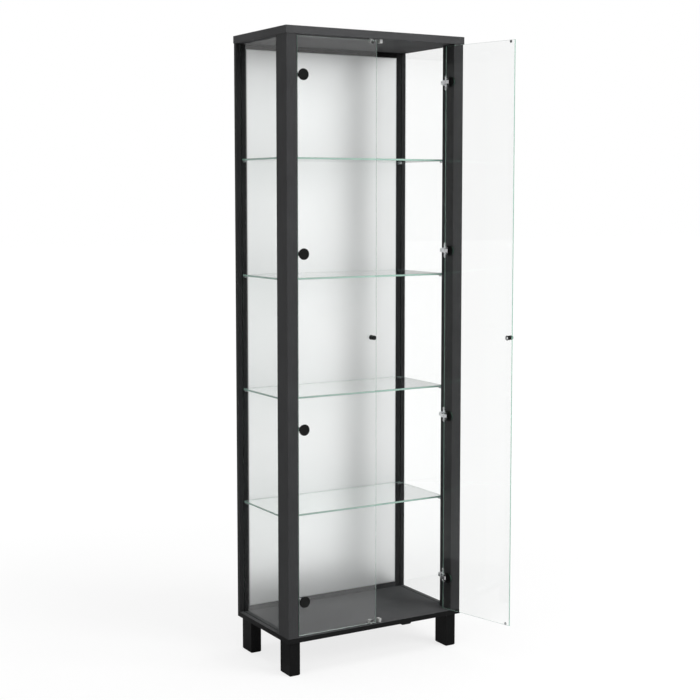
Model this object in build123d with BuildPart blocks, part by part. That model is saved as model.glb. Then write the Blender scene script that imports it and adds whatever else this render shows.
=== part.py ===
from build123d import *
import os

# A tall, narrow display cabinet: a black frame of two panels and four posts, a mirror at the back,
# glass at both sides, four glass shelves and two inset glass doors on cup hinges.
# Millimetres. X runs to the right, Y to the back, Z up. The left door is shut and the right door
# stands open. The sizes below are set out from the floor under the middle of the carcass. The
# finished pieces are shifted so that the origin is under the middle of the whole object's box.

os.makedirs("parts", exist_ok=True)

# Flat sides of round pieces. Hidden dowels, screws and holes have few, and what shows has more.
# Only the hinge pins, which the doors turn on, are fully round.
HIDDEN_SIDES = 6
HEAD_SIDES = 8
PIN_SIDES = 12
ROUND_SIDES = 16

# Carcass
TOTAL_HEIGHT = 1700.0
BODY_WIDTH = 550.0
BODY_DEPTH = 300.0
TOP_THICKNESS = 20.0
TOP_OVERHANG = 1.5
BASE_THICKNESS = 13.0
FOOT_HEIGHT = 92.0
FRONT_POST_WIDTH = 31.0
FRONT_POST_DEPTH = 56.0
REAR_POST_WIDTH = 33.0
REAR_POST_DEPTH = 13.0
RAIL_HEIGHT = 14.0
EDGE_BREAK = 0.8

# Middle of the whole object's box, with its right door open, from the middle of the carcass
BOX_MIDDLE_X = 14.0
BOX_MIDDLE_Y = -104.5

# Feet
FOOT_WIDTH = 31.0
FOOT_DEPTH = 54.0
FOOT_INSET_X = 9.5
FOOT_INSET_Y = 10.0
PAD_THICKNESS = 2.0
PAD_MARGIN = 2.0

# Side glass in its grooves
SIDE_GLASS = 4.0
SIDE_GLASS_CENTRE = 15.6
GROOVE_WIDTH = 4.4
GROOVE_DEPTH = 5.5
GROOVE_PLAY = 0.5
GLASS_ARRIS = 0.4

# Mirror and the board behind it
MIRROR_THICKNESS = 4.0
MIRROR_RECESS = 1.0
MIRROR_PLAY = 0.5
BOARD_THICKNESS = 3.0
REBATE_WIDTH = 6.0
BOARD_PLAY = 0.5
BOARD_SCREW_ROWS = 3

# Shelves
SHELF_COUNT = 4
SHELF_THICKNESS = 5.0
SHELF_FRONT_SETBACK = 62.0
SHELF_BACK_GAP = 1.0
SHELF_SIDE_GAP = 1.4
PEG_RADIUS = 2.5
PEG_TO_OUTSIDE = 25.0
PEG_HOLE_DEPTH = 4.5
PEG_REACH_FRONT = 14.0
PEG_REACH_REAR = 10.0
PEG_HEAD_WIDTH = 9.0
PEG_HEAD_HEIGHT = 4.0

# Doors
DOOR_GLASS = 4.0
DOOR_RECESS = 2.5
DOOR_SIDE_GAP = 3.0
DOOR_CENTRE_GAP = 5.0
DOOR_BOTTOM_GAP = 4.0
DOOR_TOP_GAP = 5.0
OPEN_ANGLE = 104.0

# Hinges. Reach is measured from the post's inner face, depth from the front of the post.
HINGE_COUNT = 4
FIRST_HINGE_HEIGHT = 198.0
HINGE_PITCH = 460.0
PIN_REACH = 14.0
PIN_DEPTH = 9.5
PIN_RADIUS = 1.5
PIN_LENGTH = 18.0
PIN_PLAY = 0.1
CUP_REACH = 20.0
CUP_RADIUS = 12.7
CUP_HOLE_RADIUS = 13.0
CUP_WALL = 2.2
CUP_FLOOR = 1.5
CUP_FLANGE_RADIUS = 14.0
CUP_FLANGE = 1.2
CAP_RADIUS = 15.0
CAP_THICKNESS = 2.5
CAP_BEVEL = 0.8
LUG_INNER = 5.3
LUG_THICKNESS = 3.0
LUG_RADIUS = 3.0
LUG_HOLE_RADIUS = 1.74
BARREL_RADIUS = 2.6
ARM_HALF_HEIGHT = 5.0
ARM_CORNER = 1.2
ARM_TOP = 8.2
ARM_END = 53.0
ARM_STEP = 33.0
BOW_START = (13.2, 11.6)
BOW_END = (15.4, 23.2)
BOW_CORNERS = ((17.5, 28.5), (19.2, 25.5))
PLATE_THICKNESS = 2.2
PLATE_START = 25.0
PLATE_END = 54.0
PLATE_HALF_HEIGHT = 6.5
WING_DEPTH = 36.0
WING_WIDTH = 11.0
WING_LENGTH = 44.0
PLATE_SCREW_SPACING = 32.0
PLATE_SCREW_RADIUS = 1.7
PLATE_SCREW_LENGTH = 12.0
SCREW_HEAD_RADIUS = 4.2
SCREW_HEAD_HEIGHT = 2.2
ARM_SCREW_DEPTHS = (41.0, 49.5)
ARM_SCREW_RADIUS = 2.8
ARM_SCREW_PROUD = 0.8

# Knobs
KNOB_TO_EDGE = 15.0
KNOB_HEIGHT = 891.0
KNOB_RADIUS = 6.0
KNOB_NECK_RADIUS = 4.5
KNOB_NECK_LENGTH = 3.0
KNOB_LENGTH = 15.0
KNOB_ROUND = 1.0
KNOB_SCREW_RADIUS = 2.0
KNOB_SCREW_BITE = 10.0
KNOB_HOLE_RADIUS = 3.0
WASHER_RADIUS = 6.5
WASHER_THICKNESS = 1.5
KNOB_HEAD_RADIUS = 4.5
KNOB_HEAD_HEIGHT = 3.5

# Magnetic catches
CATCH_WIDTH = 9.0
CATCH_DEPTH = 14.0
CATCH_HEIGHT = 10.0
CATCH_GAP = 0.3
CATCH_ROUND = 1.5
MAGNET_WIDTH = 6.0
MAGNET_DEPTH = 3.0
STRIKE_RADIUS = 4.0
STRIKE_THICKNESS = 1.0
STRIKE_TO_EDGE = 12.0
STRIKE_TO_END = 4.5

# Fasteners of the carcass
DOWEL_RADIUS = 4.0
SMALL_DOWEL_RADIUS = 3.0
DOWEL_IN_POST = 20.0
DOWEL_IN_PANEL = 9.0
FRONT_DOWEL_DEPTH = 43.0
FRONT_SCREW_DEPTH = 18.0
REAR_DOWEL_TO_OUTSIDE = 8.0
FOOT_DOWEL_SPACING = 28.0
POST_SCREW_RADIUS = 2.5
POST_SCREW_IN_POST = 45.0
POST_SCREW_HEAD_RADIUS = 4.6
POST_SCREW_HEAD_HEIGHT = 3.0
REAR_SCREW_TO_OUTSIDE = 22.5
COUNTERBORE_RADIUS = 5.0
COUNTERBORE_DEPTH = 5.5
CAP_DISC_HEIGHT = 2.0
RAIL_SCREW_RADIUS = 1.75
RAIL_SCREW_BITE = 6.5
RAIL_SCREW_SPACING = 240.0
BOARD_SCREW_RADIUS = 1.2
BOARD_SCREW_BITE = 3.5
BOARD_SCREW_HEAD_RADIUS = 2.8
BOARD_SCREW_HEAD_HEIGHT = 1.5

# Limits worked out from the sizes above
LEFT = -BODY_WIDTH / 2
RIGHT = BODY_WIDTH / 2
FRONT = -BODY_DEPTH / 2
BACK = BODY_DEPTH / 2
BASE_TOP = FOOT_HEIGHT + BASE_THICKNESS
TOP_UNDERSIDE = TOTAL_HEIGHT - TOP_THICKNESS
POST_LENGTH = TOP_UNDERSIDE - BASE_TOP
LEFT_INNER = LEFT + FRONT_POST_WIDTH
REAR_POST_FACE = BACK - REAR_POST_DEPTH
REAR_INNER = LEFT + REAR_POST_WIDTH
MIRROR_FACE = REAR_POST_FACE + MIRROR_RECESS
BOARD_FACE = MIRROR_FACE + MIRROR_THICKNESS
MIRROR_BOTTOM = BASE_TOP + RAIL_HEIGHT
MIRROR_TOP = TOP_UNDERSIDE - RAIL_HEIGHT
SHELF_CLEAR = (POST_LENGTH - SHELF_COUNT * SHELF_THICKNESS) / (SHELF_COUNT + 1)
SHELF_BOTTOMS = [
    BASE_TOP + SHELF_CLEAR * (n + 1) + SHELF_THICKNESS * n for n in range(SHELF_COUNT)
]
DOOR_FRONT = FRONT + DOOR_RECESS
DOOR_BACK = DOOR_FRONT + DOOR_GLASS
DOOR_BOTTOM = BASE_TOP + DOOR_BOTTOM_GAP
DOOR_TOP = TOP_UNDERSIDE - DOOR_TOP_GAP
DOOR_HINGE_EDGE = LEFT_INNER + DOOR_SIDE_GAP
DOOR_FREE_EDGE = -DOOR_CENTRE_GAP / 2
PIN_X = LEFT_INNER + PIN_REACH
PIN_Y = FRONT + PIN_DEPTH
CUP_X = LEFT_INNER + CUP_REACH
HINGE_HEIGHTS = [FIRST_HINGE_HEIGHT + HINGE_PITCH * n for n in range(HINGE_COUNT)]
BACKWARD = (0, 1, 0)
FORWARD = (0, -1, 0)
UPWARD = (0, 0, 1)
DOWNWARD = (0, 0, -1)
OUTWARD = (-1, 0, 0)
INWARD = (1, 0, 0)


def slab(x, y, z, mode=Mode.ADD):
    """A rectangular piece or cut between three pairs of limits."""
    with BuildSketch(Plane.XY.offset(z[0])) as outline:
        with Locations(((x[0] + x[1]) / 2, (y[0] + y[1]) / 2)):
            Rectangle(x[1] - x[0], y[1] - y[0])
    extrude(outline.sketch, amount=z[1] - z[0], mode=mode)


def rod(radius, start, direction, length, mode=Mode.ADD, sides=HIDDEN_SIDES):
    """A round piece or hole with flat sides that starts at a point and runs along a direction."""
    across = BACKWARD if direction in (INWARD, OUTWARD) else INWARD
    with BuildSketch(Plane(origin=start, x_dir=across, z_dir=direction)) as section:
        RegularPolygon(radius, sides)
    extrude(section.sketch, amount=length, mode=mode)


def save(name, part):
    """Shift one finished piece to the object's origin, label it and write it."""
    piece = part.moved(Location((-BOX_MIDDLE_X, -BOX_MIDDLE_Y, 0)))
    piece.label = name
    export_step(piece, f"parts/{name}.step")


def save_pair(name, part):
    """Write a piece of the left side and its mirror image on the right side."""
    save(f"left_{name}", part)
    save(f"right_{name}", mirror(part, about=Plane.YZ))


def save_door_pair(name, part):
    """Write a piece of the shut left door and its twin on the open right door."""
    save(f"left_{name}", part)
    right_axis = Axis((-PIN_X, PIN_Y, 0), UPWARD)
    save(f"right_{name}", mirror(part, about=Plane.YZ).rotate(right_axis, OPEN_ANGLE))


def both_sides(points):
    """The same points on the left and mirrored on the right."""
    return [(side * x, y) for x, y in points for side in (1, -1)]


FRONT_POST_X = LEFT + FRONT_POST_WIDTH / 2
FRONT_DOWELS = both_sides([(FRONT_POST_X, FRONT + FRONT_DOWEL_DEPTH)])
FRONT_SCREWS = both_sides([(FRONT_POST_X, FRONT + FRONT_SCREW_DEPTH)])
REAR_POST_Y = BACK - REAR_POST_DEPTH / 2
REAR_DOWELS = both_sides([(LEFT + REAR_DOWEL_TO_OUTSIDE, REAR_POST_Y)])
REAR_SCREWS = both_sides([(LEFT + REAR_SCREW_TO_OUTSIDE, REAR_POST_Y)])
RAIL_SCREWS = both_sides([(RAIL_SCREW_SPACING / 2, REAR_POST_Y)])
FOOT_X = LEFT + FOOT_INSET_X + FOOT_WIDTH / 2
FOOT_YS = (FRONT + FOOT_INSET_Y + FOOT_DEPTH / 2, BACK - FOOT_INSET_Y - FOOT_DEPTH / 2)
FOOT_DOWELS = both_sides(
    [(FOOT_X, y + side * FOOT_DOWEL_SPACING / 2) for y in FOOT_YS for side in (1, -1)]
)
SCREW_STEP = (MIRROR_TOP - MIRROR_BOTTOM) / BOARD_SCREW_ROWS
BOARD_SCREW_X = REAR_INNER - REBATE_WIDTH / 2
BOARD_SCREW_ZS = [MIRROR_BOTTOM + SCREW_STEP * (n + 0.5) for n in range(BOARD_SCREW_ROWS)]
GROOVE_Y = (FRONT + FRONT_POST_DEPTH - GROOVE_DEPTH, REAR_POST_FACE + GROOVE_DEPTH)
GROOVE_XS = [
    (side * (RIGHT - SIDE_GLASS_CENTRE) - GROOVE_WIDTH / 2,
     side * (RIGHT - SIDE_GLASS_CENTRE) + GROOVE_WIDTH / 2)
    for side in (-1, 1)
]

# Top panel, with the glass grooves, dowel holes and counterbored screw holes
with BuildPart() as top_panel:
    slab(
        (LEFT - TOP_OVERHANG, RIGHT + TOP_OVERHANG),
        (FRONT - TOP_OVERHANG, BACK + TOP_OVERHANG),
        (TOP_UNDERSIDE, TOTAL_HEIGHT),
    )
    chamfer(top_panel.edges(), EDGE_BREAK)
    for groove in GROOVE_XS:
        slab(groove, GROOVE_Y, (TOP_UNDERSIDE, TOP_UNDERSIDE + GROOVE_DEPTH), Mode.SUBTRACT)
    for x, y in FRONT_DOWELS:
        rod(DOWEL_RADIUS, (x, y, TOP_UNDERSIDE), UPWARD, DOWEL_IN_PANEL, Mode.SUBTRACT)
    for x, y in REAR_DOWELS:
        rod(SMALL_DOWEL_RADIUS, (x, y, TOP_UNDERSIDE), UPWARD, DOWEL_IN_PANEL, Mode.SUBTRACT)
    for x, y in FRONT_SCREWS + REAR_SCREWS:
        rod(POST_SCREW_RADIUS, (x, y, TOP_UNDERSIDE), UPWARD, TOP_THICKNESS, Mode.SUBTRACT)
    for x, y in RAIL_SCREWS:
        rod(RAIL_SCREW_RADIUS, (x, y, TOP_UNDERSIDE), UPWARD, TOP_THICKNESS, Mode.SUBTRACT)
    for x, y in FRONT_SCREWS + REAR_SCREWS + RAIL_SCREWS:
        start = (x, y, TOTAL_HEIGHT)
        rod(COUNTERBORE_RADIUS, start, DOWNWARD, COUNTERBORE_DEPTH, Mode.SUBTRACT, HEAD_SIDES)
save("top_panel", top_panel.part)

# Bottom panel, thinner, flush with the posts
with BuildPart() as bottom_panel:
    slab((LEFT, RIGHT), (FRONT, BACK), (FOOT_HEIGHT, BASE_TOP))
    chamfer(bottom_panel.edges(), EDGE_BREAK / 2)
    for groove in GROOVE_XS:
        slab(groove, GROOVE_Y, (BASE_TOP - GROOVE_DEPTH, BASE_TOP), Mode.SUBTRACT)
    for x, y in FRONT_DOWELS:
        rod(DOWEL_RADIUS, (x, y, BASE_TOP), DOWNWARD, DOWEL_IN_PANEL, Mode.SUBTRACT)
    for x, y in REAR_DOWELS:
        rod(SMALL_DOWEL_RADIUS, (x, y, BASE_TOP), DOWNWARD, DOWEL_IN_PANEL, Mode.SUBTRACT)
    for x, y in FRONT_SCREWS + REAR_SCREWS:
        rod(POST_SCREW_RADIUS, (x, y, FOOT_HEIGHT), UPWARD, BASE_THICKNESS, Mode.SUBTRACT)
    for x, y in RAIL_SCREWS:
        rod(RAIL_SCREW_RADIUS, (x, y, FOOT_HEIGHT), UPWARD, BASE_THICKNESS, Mode.SUBTRACT)
    for x, y in FRONT_SCREWS + REAR_SCREWS + RAIL_SCREWS:
        start = (x, y, FOOT_HEIGHT)
        rod(COUNTERBORE_RADIUS, start, UPWARD, POST_SCREW_HEAD_HEIGHT, Mode.SUBTRACT)
    for x, y in FOOT_DOWELS:
        rod(DOWEL_RADIUS, (x, y, FOOT_HEIGHT), UPWARD, DOWEL_IN_PANEL, Mode.SUBTRACT)
save("bottom_panel", bottom_panel.part)

# Front post of the left side: glass groove, shelf peg holes and the hinge plates' screw holes
with BuildPart() as front_post:
    slab((LEFT, LEFT_INNER), (FRONT, FRONT + FRONT_POST_DEPTH), (BASE_TOP, TOP_UNDERSIDE))
    chamfer(front_post.edges().filter_by(Axis.Z), EDGE_BREAK)
    slab(
        GROOVE_XS[0],
        (GROOVE_Y[0], FRONT + FRONT_POST_DEPTH),
        (BASE_TOP, TOP_UNDERSIDE),
        Mode.SUBTRACT,
    )
    for bottom in SHELF_BOTTOMS:
        peg = (LEFT + PEG_TO_OUTSIDE, FRONT + FRONT_POST_DEPTH, bottom - PEG_RADIUS)
        rod(PEG_RADIUS, peg, FORWARD, PEG_HOLE_DEPTH, Mode.SUBTRACT)
    for height in HINGE_HEIGHTS:
        for side in (-1, 1):
            screw = (LEFT_INNER, FRONT + WING_DEPTH, height + side * PLATE_SCREW_SPACING / 2)
            rod(PLATE_SCREW_RADIUS, screw, OUTWARD, PLATE_SCREW_LENGTH, Mode.SUBTRACT)
    for depth, radius, length in (
        (FRONT_DOWEL_DEPTH, DOWEL_RADIUS, DOWEL_IN_POST),
        (FRONT_SCREW_DEPTH, POST_SCREW_RADIUS, POST_SCREW_IN_POST),
    ):
        y = FRONT + depth
        rod(radius, (FRONT_POST_X, y, BASE_TOP), UPWARD, length, Mode.SUBTRACT)
        rod(radius, (FRONT_POST_X, y, TOP_UNDERSIDE), DOWNWARD, length, Mode.SUBTRACT)
save_pair("front_post", front_post.part)

# Rear post of the left side: glass groove in front, rebate for the back board behind
with BuildPart() as rear_post:
    slab((LEFT, REAR_INNER), (REAR_POST_FACE, BACK), (BASE_TOP, TOP_UNDERSIDE))
    chamfer(rear_post.edges().filter_by(Axis.Z), EDGE_BREAK / 2)
    slab(GROOVE_XS[0], (REAR_POST_FACE, GROOVE_Y[1]), (BASE_TOP, TOP_UNDERSIDE), Mode.SUBTRACT)
    slab(
        (REAR_INNER - REBATE_WIDTH, REAR_INNER),
        (BOARD_FACE, BACK),
        (MIRROR_BOTTOM - REBATE_WIDTH, MIRROR_TOP + REBATE_WIDTH),
        Mode.SUBTRACT,
    )
    for bottom in SHELF_BOTTOMS:
        peg = (LEFT + PEG_TO_OUTSIDE, REAR_POST_FACE, bottom - PEG_RADIUS)
        rod(PEG_RADIUS, peg, BACKWARD, PEG_HOLE_DEPTH, Mode.SUBTRACT)
    for z in BOARD_SCREW_ZS:
        board_step = (BOARD_SCREW_X, BOARD_FACE, z)
        rod(BOARD_SCREW_RADIUS, board_step, FORWARD, BOARD_SCREW_BITE, Mode.SUBTRACT)
    for x, radius, length in (
        (LEFT + REAR_DOWEL_TO_OUTSIDE, SMALL_DOWEL_RADIUS, DOWEL_IN_POST),
        (LEFT + REAR_SCREW_TO_OUTSIDE, POST_SCREW_RADIUS, POST_SCREW_IN_POST),
    ):
        rod(radius, (x, REAR_POST_Y, BASE_TOP), UPWARD, length, Mode.SUBTRACT)
        rod(radius, (x, REAR_POST_Y, TOP_UNDERSIDE), DOWNWARD, length, Mode.SUBTRACT)
save_pair("rear_post", rear_post.part)


def build_rail(outer, inner):
    """A rear rail between the rear posts, with its rebate along the side that meets the board."""
    low, high = min(outer, inner), max(outer, inner)
    toward_board = 1 if inner > outer else -1
    edge = inner - toward_board * REBATE_WIDTH
    with BuildPart() as rail:
        slab((REAR_INNER, -REAR_INNER), (REAR_POST_FACE, BACK), (low, high))
        slab(
            (REAR_INNER, -REAR_INNER),
            (BOARD_FACE, BACK),
            (min(edge, inner), max(edge, inner)),
            Mode.SUBTRACT,
        )
        for x, y in RAIL_SCREWS:
            up_or_down = (0, 0, toward_board)
            rod(RAIL_SCREW_RADIUS, (x, y, outer), up_or_down, RAIL_SCREW_BITE, Mode.SUBTRACT)
    return rail.part


save("rear_rail_bottom", build_rail(BASE_TOP, MIRROR_BOTTOM))
save("rear_rail_top", build_rail(TOP_UNDERSIDE, MIRROR_TOP))

# Block feet, each with two dowel holes in its top, and a soft pad below
for name, y, side in (
    ("front_left", FOOT_YS[0], 1),
    ("front_right", FOOT_YS[0], -1),
    ("rear_left", FOOT_YS[1], 1),
    ("rear_right", FOOT_YS[1], -1),
):
    x = side * FOOT_X
    with BuildPart() as foot_block:
        slab(
            (x - FOOT_WIDTH / 2, x + FOOT_WIDTH / 2),
            (y - FOOT_DEPTH / 2, y + FOOT_DEPTH / 2),
            (PAD_THICKNESS, FOOT_HEIGHT),
        )
        chamfer(foot_block.edges().filter_by(Axis.Z), EDGE_BREAK)
        for way in (-1, 1):
            start = (x, y + way * FOOT_DOWEL_SPACING / 2, FOOT_HEIGHT)
            rod(DOWEL_RADIUS, start, DOWNWARD, DOWEL_IN_POST, Mode.SUBTRACT)
    save(f"foot_{name}", foot_block.part)

with BuildPart() as foot_pads:
    for x, y in both_sides([(FOOT_X, y) for y in FOOT_YS]):
        slab(
            (x - FOOT_WIDTH / 2 + PAD_MARGIN, x + FOOT_WIDTH / 2 - PAD_MARGIN),
            (y - FOOT_DEPTH / 2 + PAD_MARGIN, y + FOOT_DEPTH / 2 - PAD_MARGIN),
            (0, PAD_THICKNESS),
        )
save("foot_pads", foot_pads.part)

# Dowels hidden in the joints
with BuildPart() as foot_dowels:
    for x, y in FOOT_DOWELS:
        start = (x, y, FOOT_HEIGHT - DOWEL_IN_POST)
        rod(DOWEL_RADIUS, start, UPWARD, DOWEL_IN_POST + DOWEL_IN_PANEL)
save("foot_dowels", foot_dowels.part)

with BuildPart() as post_dowels:
    for points, radius in ((FRONT_DOWELS, DOWEL_RADIUS), (REAR_DOWELS, SMALL_DOWEL_RADIUS)):
        for x, y in points:
            for start in (BASE_TOP - DOWEL_IN_PANEL, TOP_UNDERSIDE - DOWEL_IN_POST):
                rod(radius, (x, y, start), UPWARD, DOWEL_IN_POST + DOWEL_IN_PANEL)
save("post_dowels", post_dowels.part)

# Screws that hold the panels to the posts and rails, and the discs that cover the top ones
PANEL_SCREWS = [(p, POST_SCREW_RADIUS, POST_SCREW_IN_POST) for p in FRONT_SCREWS + REAR_SCREWS]
PANEL_SCREWS += [(p, RAIL_SCREW_RADIUS, RAIL_SCREW_BITE) for p in RAIL_SCREWS]

with BuildPart() as top_panel_screws:
    seat = TOTAL_HEIGHT - COUNTERBORE_DEPTH
    for (x, y), radius, bite in PANEL_SCREWS:
        rod(POST_SCREW_HEAD_RADIUS, (x, y, seat), UPWARD, POST_SCREW_HEAD_HEIGHT)
        rod(radius, (x, y, seat), DOWNWARD, seat - TOP_UNDERSIDE + bite)
save("top_panel_screws", top_panel_screws.part)

with BuildPart() as bottom_panel_screws:
    seat = FOOT_HEIGHT + POST_SCREW_HEAD_HEIGHT
    for (x, y), radius, bite in PANEL_SCREWS:
        rod(POST_SCREW_HEAD_RADIUS, (x, y, FOOT_HEIGHT), UPWARD, POST_SCREW_HEAD_HEIGHT)
        rod(radius, (x, y, seat), UPWARD, BASE_TOP - seat + bite)
save("bottom_panel_screws", bottom_panel_screws.part)

with BuildPart() as screw_cover_discs:
    for (x, y), radius, bite in PANEL_SCREWS:
        start = (x, y, TOTAL_HEIGHT)
        rod(COUNTERBORE_RADIUS, start, DOWNWARD, CAP_DISC_HEIGHT, sides=HEAD_SIDES)
save("screw_cover_discs", screw_cover_discs.part)

# Mirror in the rear frame, and the board that closes the back
with BuildPart() as mirror_glass:
    slab(
        (REAR_INNER + MIRROR_PLAY, -REAR_INNER - MIRROR_PLAY),
        (MIRROR_FACE, BOARD_FACE),
        (MIRROR_BOTTOM + MIRROR_PLAY, MIRROR_TOP - MIRROR_PLAY),
    )
    chamfer(mirror_glass.faces().sort_by(Axis.Y)[0].edges(), GLASS_ARRIS)
save("mirror", mirror_glass.part)

BOARD_GROWTH = REBATE_WIDTH - BOARD_PLAY
BOARD_SCREWS = [(side * BOARD_SCREW_X, z) for z in BOARD_SCREW_ZS for side in (-1, 1)]

with BuildPart() as back_board:
    slab(
        (REAR_INNER - BOARD_GROWTH, -REAR_INNER + BOARD_GROWTH),
        (BOARD_FACE, BOARD_FACE + BOARD_THICKNESS),
        (MIRROR_BOTTOM - BOARD_GROWTH, MIRROR_TOP + BOARD_GROWTH),
    )
    for x, z in BOARD_SCREWS:
        rod(BOARD_SCREW_RADIUS, (x, BOARD_FACE, z), BACKWARD, BOARD_THICKNESS, Mode.SUBTRACT)
save("back_board", back_board.part)

with BuildPart() as back_board_screws:
    for x, z in BOARD_SCREWS:
        board_back = (x, BOARD_FACE + BOARD_THICKNESS, z)
        rod(
            BOARD_SCREW_HEAD_RADIUS,
            board_back,
            BACKWARD,
            BOARD_SCREW_HEAD_HEIGHT,
            sides=HEAD_SIDES,
        )
        rod(BOARD_SCREW_RADIUS, board_back, FORWARD, BOARD_THICKNESS + BOARD_SCREW_BITE)
save("back_board_screws", back_board_screws.part)

# Side glass, held on all four sides by grooves
with BuildPart() as side_glass:
    centre = LEFT + SIDE_GLASS_CENTRE
    slab(
        (centre - SIDE_GLASS / 2, centre + SIDE_GLASS / 2),
        (GROOVE_Y[0] + GROOVE_PLAY, GROOVE_Y[1] - GROOVE_PLAY),
        (BASE_TOP - GROOVE_DEPTH + GROOVE_PLAY, TOP_UNDERSIDE + GROOVE_DEPTH - GROOVE_PLAY),
    )
save_pair("side_glass", side_glass.part)

# Glass shelves and the pegs that carry them
SHELF_EDGE_X = LEFT + SIDE_GLASS_CENTRE + SIDE_GLASS / 2 + SHELF_SIDE_GAP
for number, bottom in enumerate(SHELF_BOTTOMS, start=1):
    with BuildPart() as shelf:
        slab(
            (SHELF_EDGE_X, -SHELF_EDGE_X),
            (FRONT + SHELF_FRONT_SETBACK, REAR_POST_FACE - SHELF_BACK_GAP),
            (bottom, bottom + SHELF_THICKNESS),
        )
        chamfer(shelf.edges(), GLASS_ARRIS)
    save(f"shelf_{number}", shelf.part)

    with BuildPart() as shelf_pegs:
        for side in (-1, 1):
            x = side * (LEFT + PEG_TO_OUTSIDE)
            head_x = (x - PEG_HEAD_WIDTH / 2, x + PEG_HEAD_WIDTH / 2)
            head_z = (bottom - PEG_HEAD_HEIGHT, bottom)
            post_back = FRONT + FRONT_POST_DEPTH
            slab(head_x, (post_back, post_back + PEG_REACH_FRONT), head_z)
            slab(head_x, (REAR_POST_FACE - PEG_REACH_REAR, REAR_POST_FACE), head_z)
        chamfer(shelf_pegs.edges().filter_by(Axis.Y).group_by(Axis.Z)[0], EDGE_BREAK)
        for side in (-1, 1):
            x = side * (LEFT + PEG_TO_OUTSIDE)
            pin_z = bottom - PEG_RADIUS
            rod(PEG_RADIUS, (x, post_back, pin_z), FORWARD, PEG_HOLE_DEPTH)
            rod(PEG_RADIUS, (x, REAR_POST_FACE, pin_z), BACKWARD, PEG_HOLE_DEPTH)
    save(f"shelf_pegs_{number}", shelf_pegs.part)

# Door glass with the cup holes along the hinge edge and the knob's hole near the free edge
KNOB_X = DOOR_FREE_EDGE - KNOB_TO_EDGE
with BuildPart() as door_glass:
    slab((DOOR_HINGE_EDGE, DOOR_FREE_EDGE), (DOOR_FRONT, DOOR_BACK), (DOOR_BOTTOM, DOOR_TOP))
    chamfer(door_glass.edges(), GLASS_ARRIS)
    for height in HINGE_HEIGHTS:
        start = (CUP_X, DOOR_FRONT, height)
        rod(CUP_HOLE_RADIUS, start, BACKWARD, DOOR_GLASS, Mode.SUBTRACT, ROUND_SIDES)
    knob_start = (KNOB_X, DOOR_FRONT, KNOB_HEIGHT)
    rod(KNOB_HOLE_RADIUS, knob_start, BACKWARD, DOOR_GLASS, Mode.SUBTRACT)
save_door_pair("door_glass", door_glass.part)

# Hinge mounting plate at height zero: a strip along the post with two screw wings
with BuildPart() as one_plate:
    with BuildSketch(Plane.YZ.offset(LEFT_INNER)):
        with Locations((FRONT + (PLATE_START + PLATE_END) / 2, 0)):
            strip = Rectangle(PLATE_END - PLATE_START, 2 * PLATE_HALF_HEIGHT)
            chamfer(strip.vertices(), ARM_CORNER)
        with Locations((FRONT + WING_DEPTH, 0)):
            Rectangle(WING_WIDTH, PLATE_SCREW_SPACING)
        with Locations([(FRONT + WING_DEPTH, way * PLATE_SCREW_SPACING / 2) for way in (-1, 1)]):
            RegularPolygon(WING_WIDTH / 2, HEAD_SIDES)
    extrude(amount=PLATE_THICKNESS)
    for side in (-1, 1):
        start = (LEFT_INNER + PLATE_THICKNESS, FRONT + WING_DEPTH, side * PLATE_SCREW_SPACING / 2)
        rod(PLATE_SCREW_RADIUS, start, OUTWARD, PLATE_THICKNESS, Mode.SUBTRACT)

# Hinge arm: a barrel round the pin, a neck that bows round the door's edge, and a body on the plate
ARM_PROFILE = (
    BOW_START,
    BOW_END,
    (ARM_TOP, BOW_END[1]),
    (PLATE_THICKNESS, PLATE_START),
    (PLATE_THICKNESS, ARM_END),
    (ARM_TOP, ARM_END),
    (ARM_TOP, ARM_STEP),
    *BOW_CORNERS,
    (PIN_REACH + BARREL_RADIUS, PIN_DEPTH),
)
with BuildPart() as one_arm:
    with BuildSketch(Plane.XY.offset(-ARM_HALF_HEIGHT)):
        with BuildLine():
            Polyline([(LEFT_INNER + reach, FRONT + depth) for reach, depth in ARM_PROFILE], close=True)
        make_face()
        with Locations((PIN_X, PIN_Y)):
            RegularPolygon(BARREL_RADIUS, PIN_SIDES)
            RegularPolygon(PIN_RADIUS + PIN_PLAY, PIN_SIDES, mode=Mode.SUBTRACT)
    extrude(amount=2 * ARM_HALF_HEIGHT)
    for depth in ARM_SCREW_DEPTHS:
        start = (LEFT_INNER + PLATE_THICKNESS, FRONT + depth, 0)
        length = ARM_TOP - PLATE_THICKNESS
        rod(ARM_SCREW_RADIUS, start, INWARD, length, Mode.SUBTRACT, HEAD_SIDES)

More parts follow.
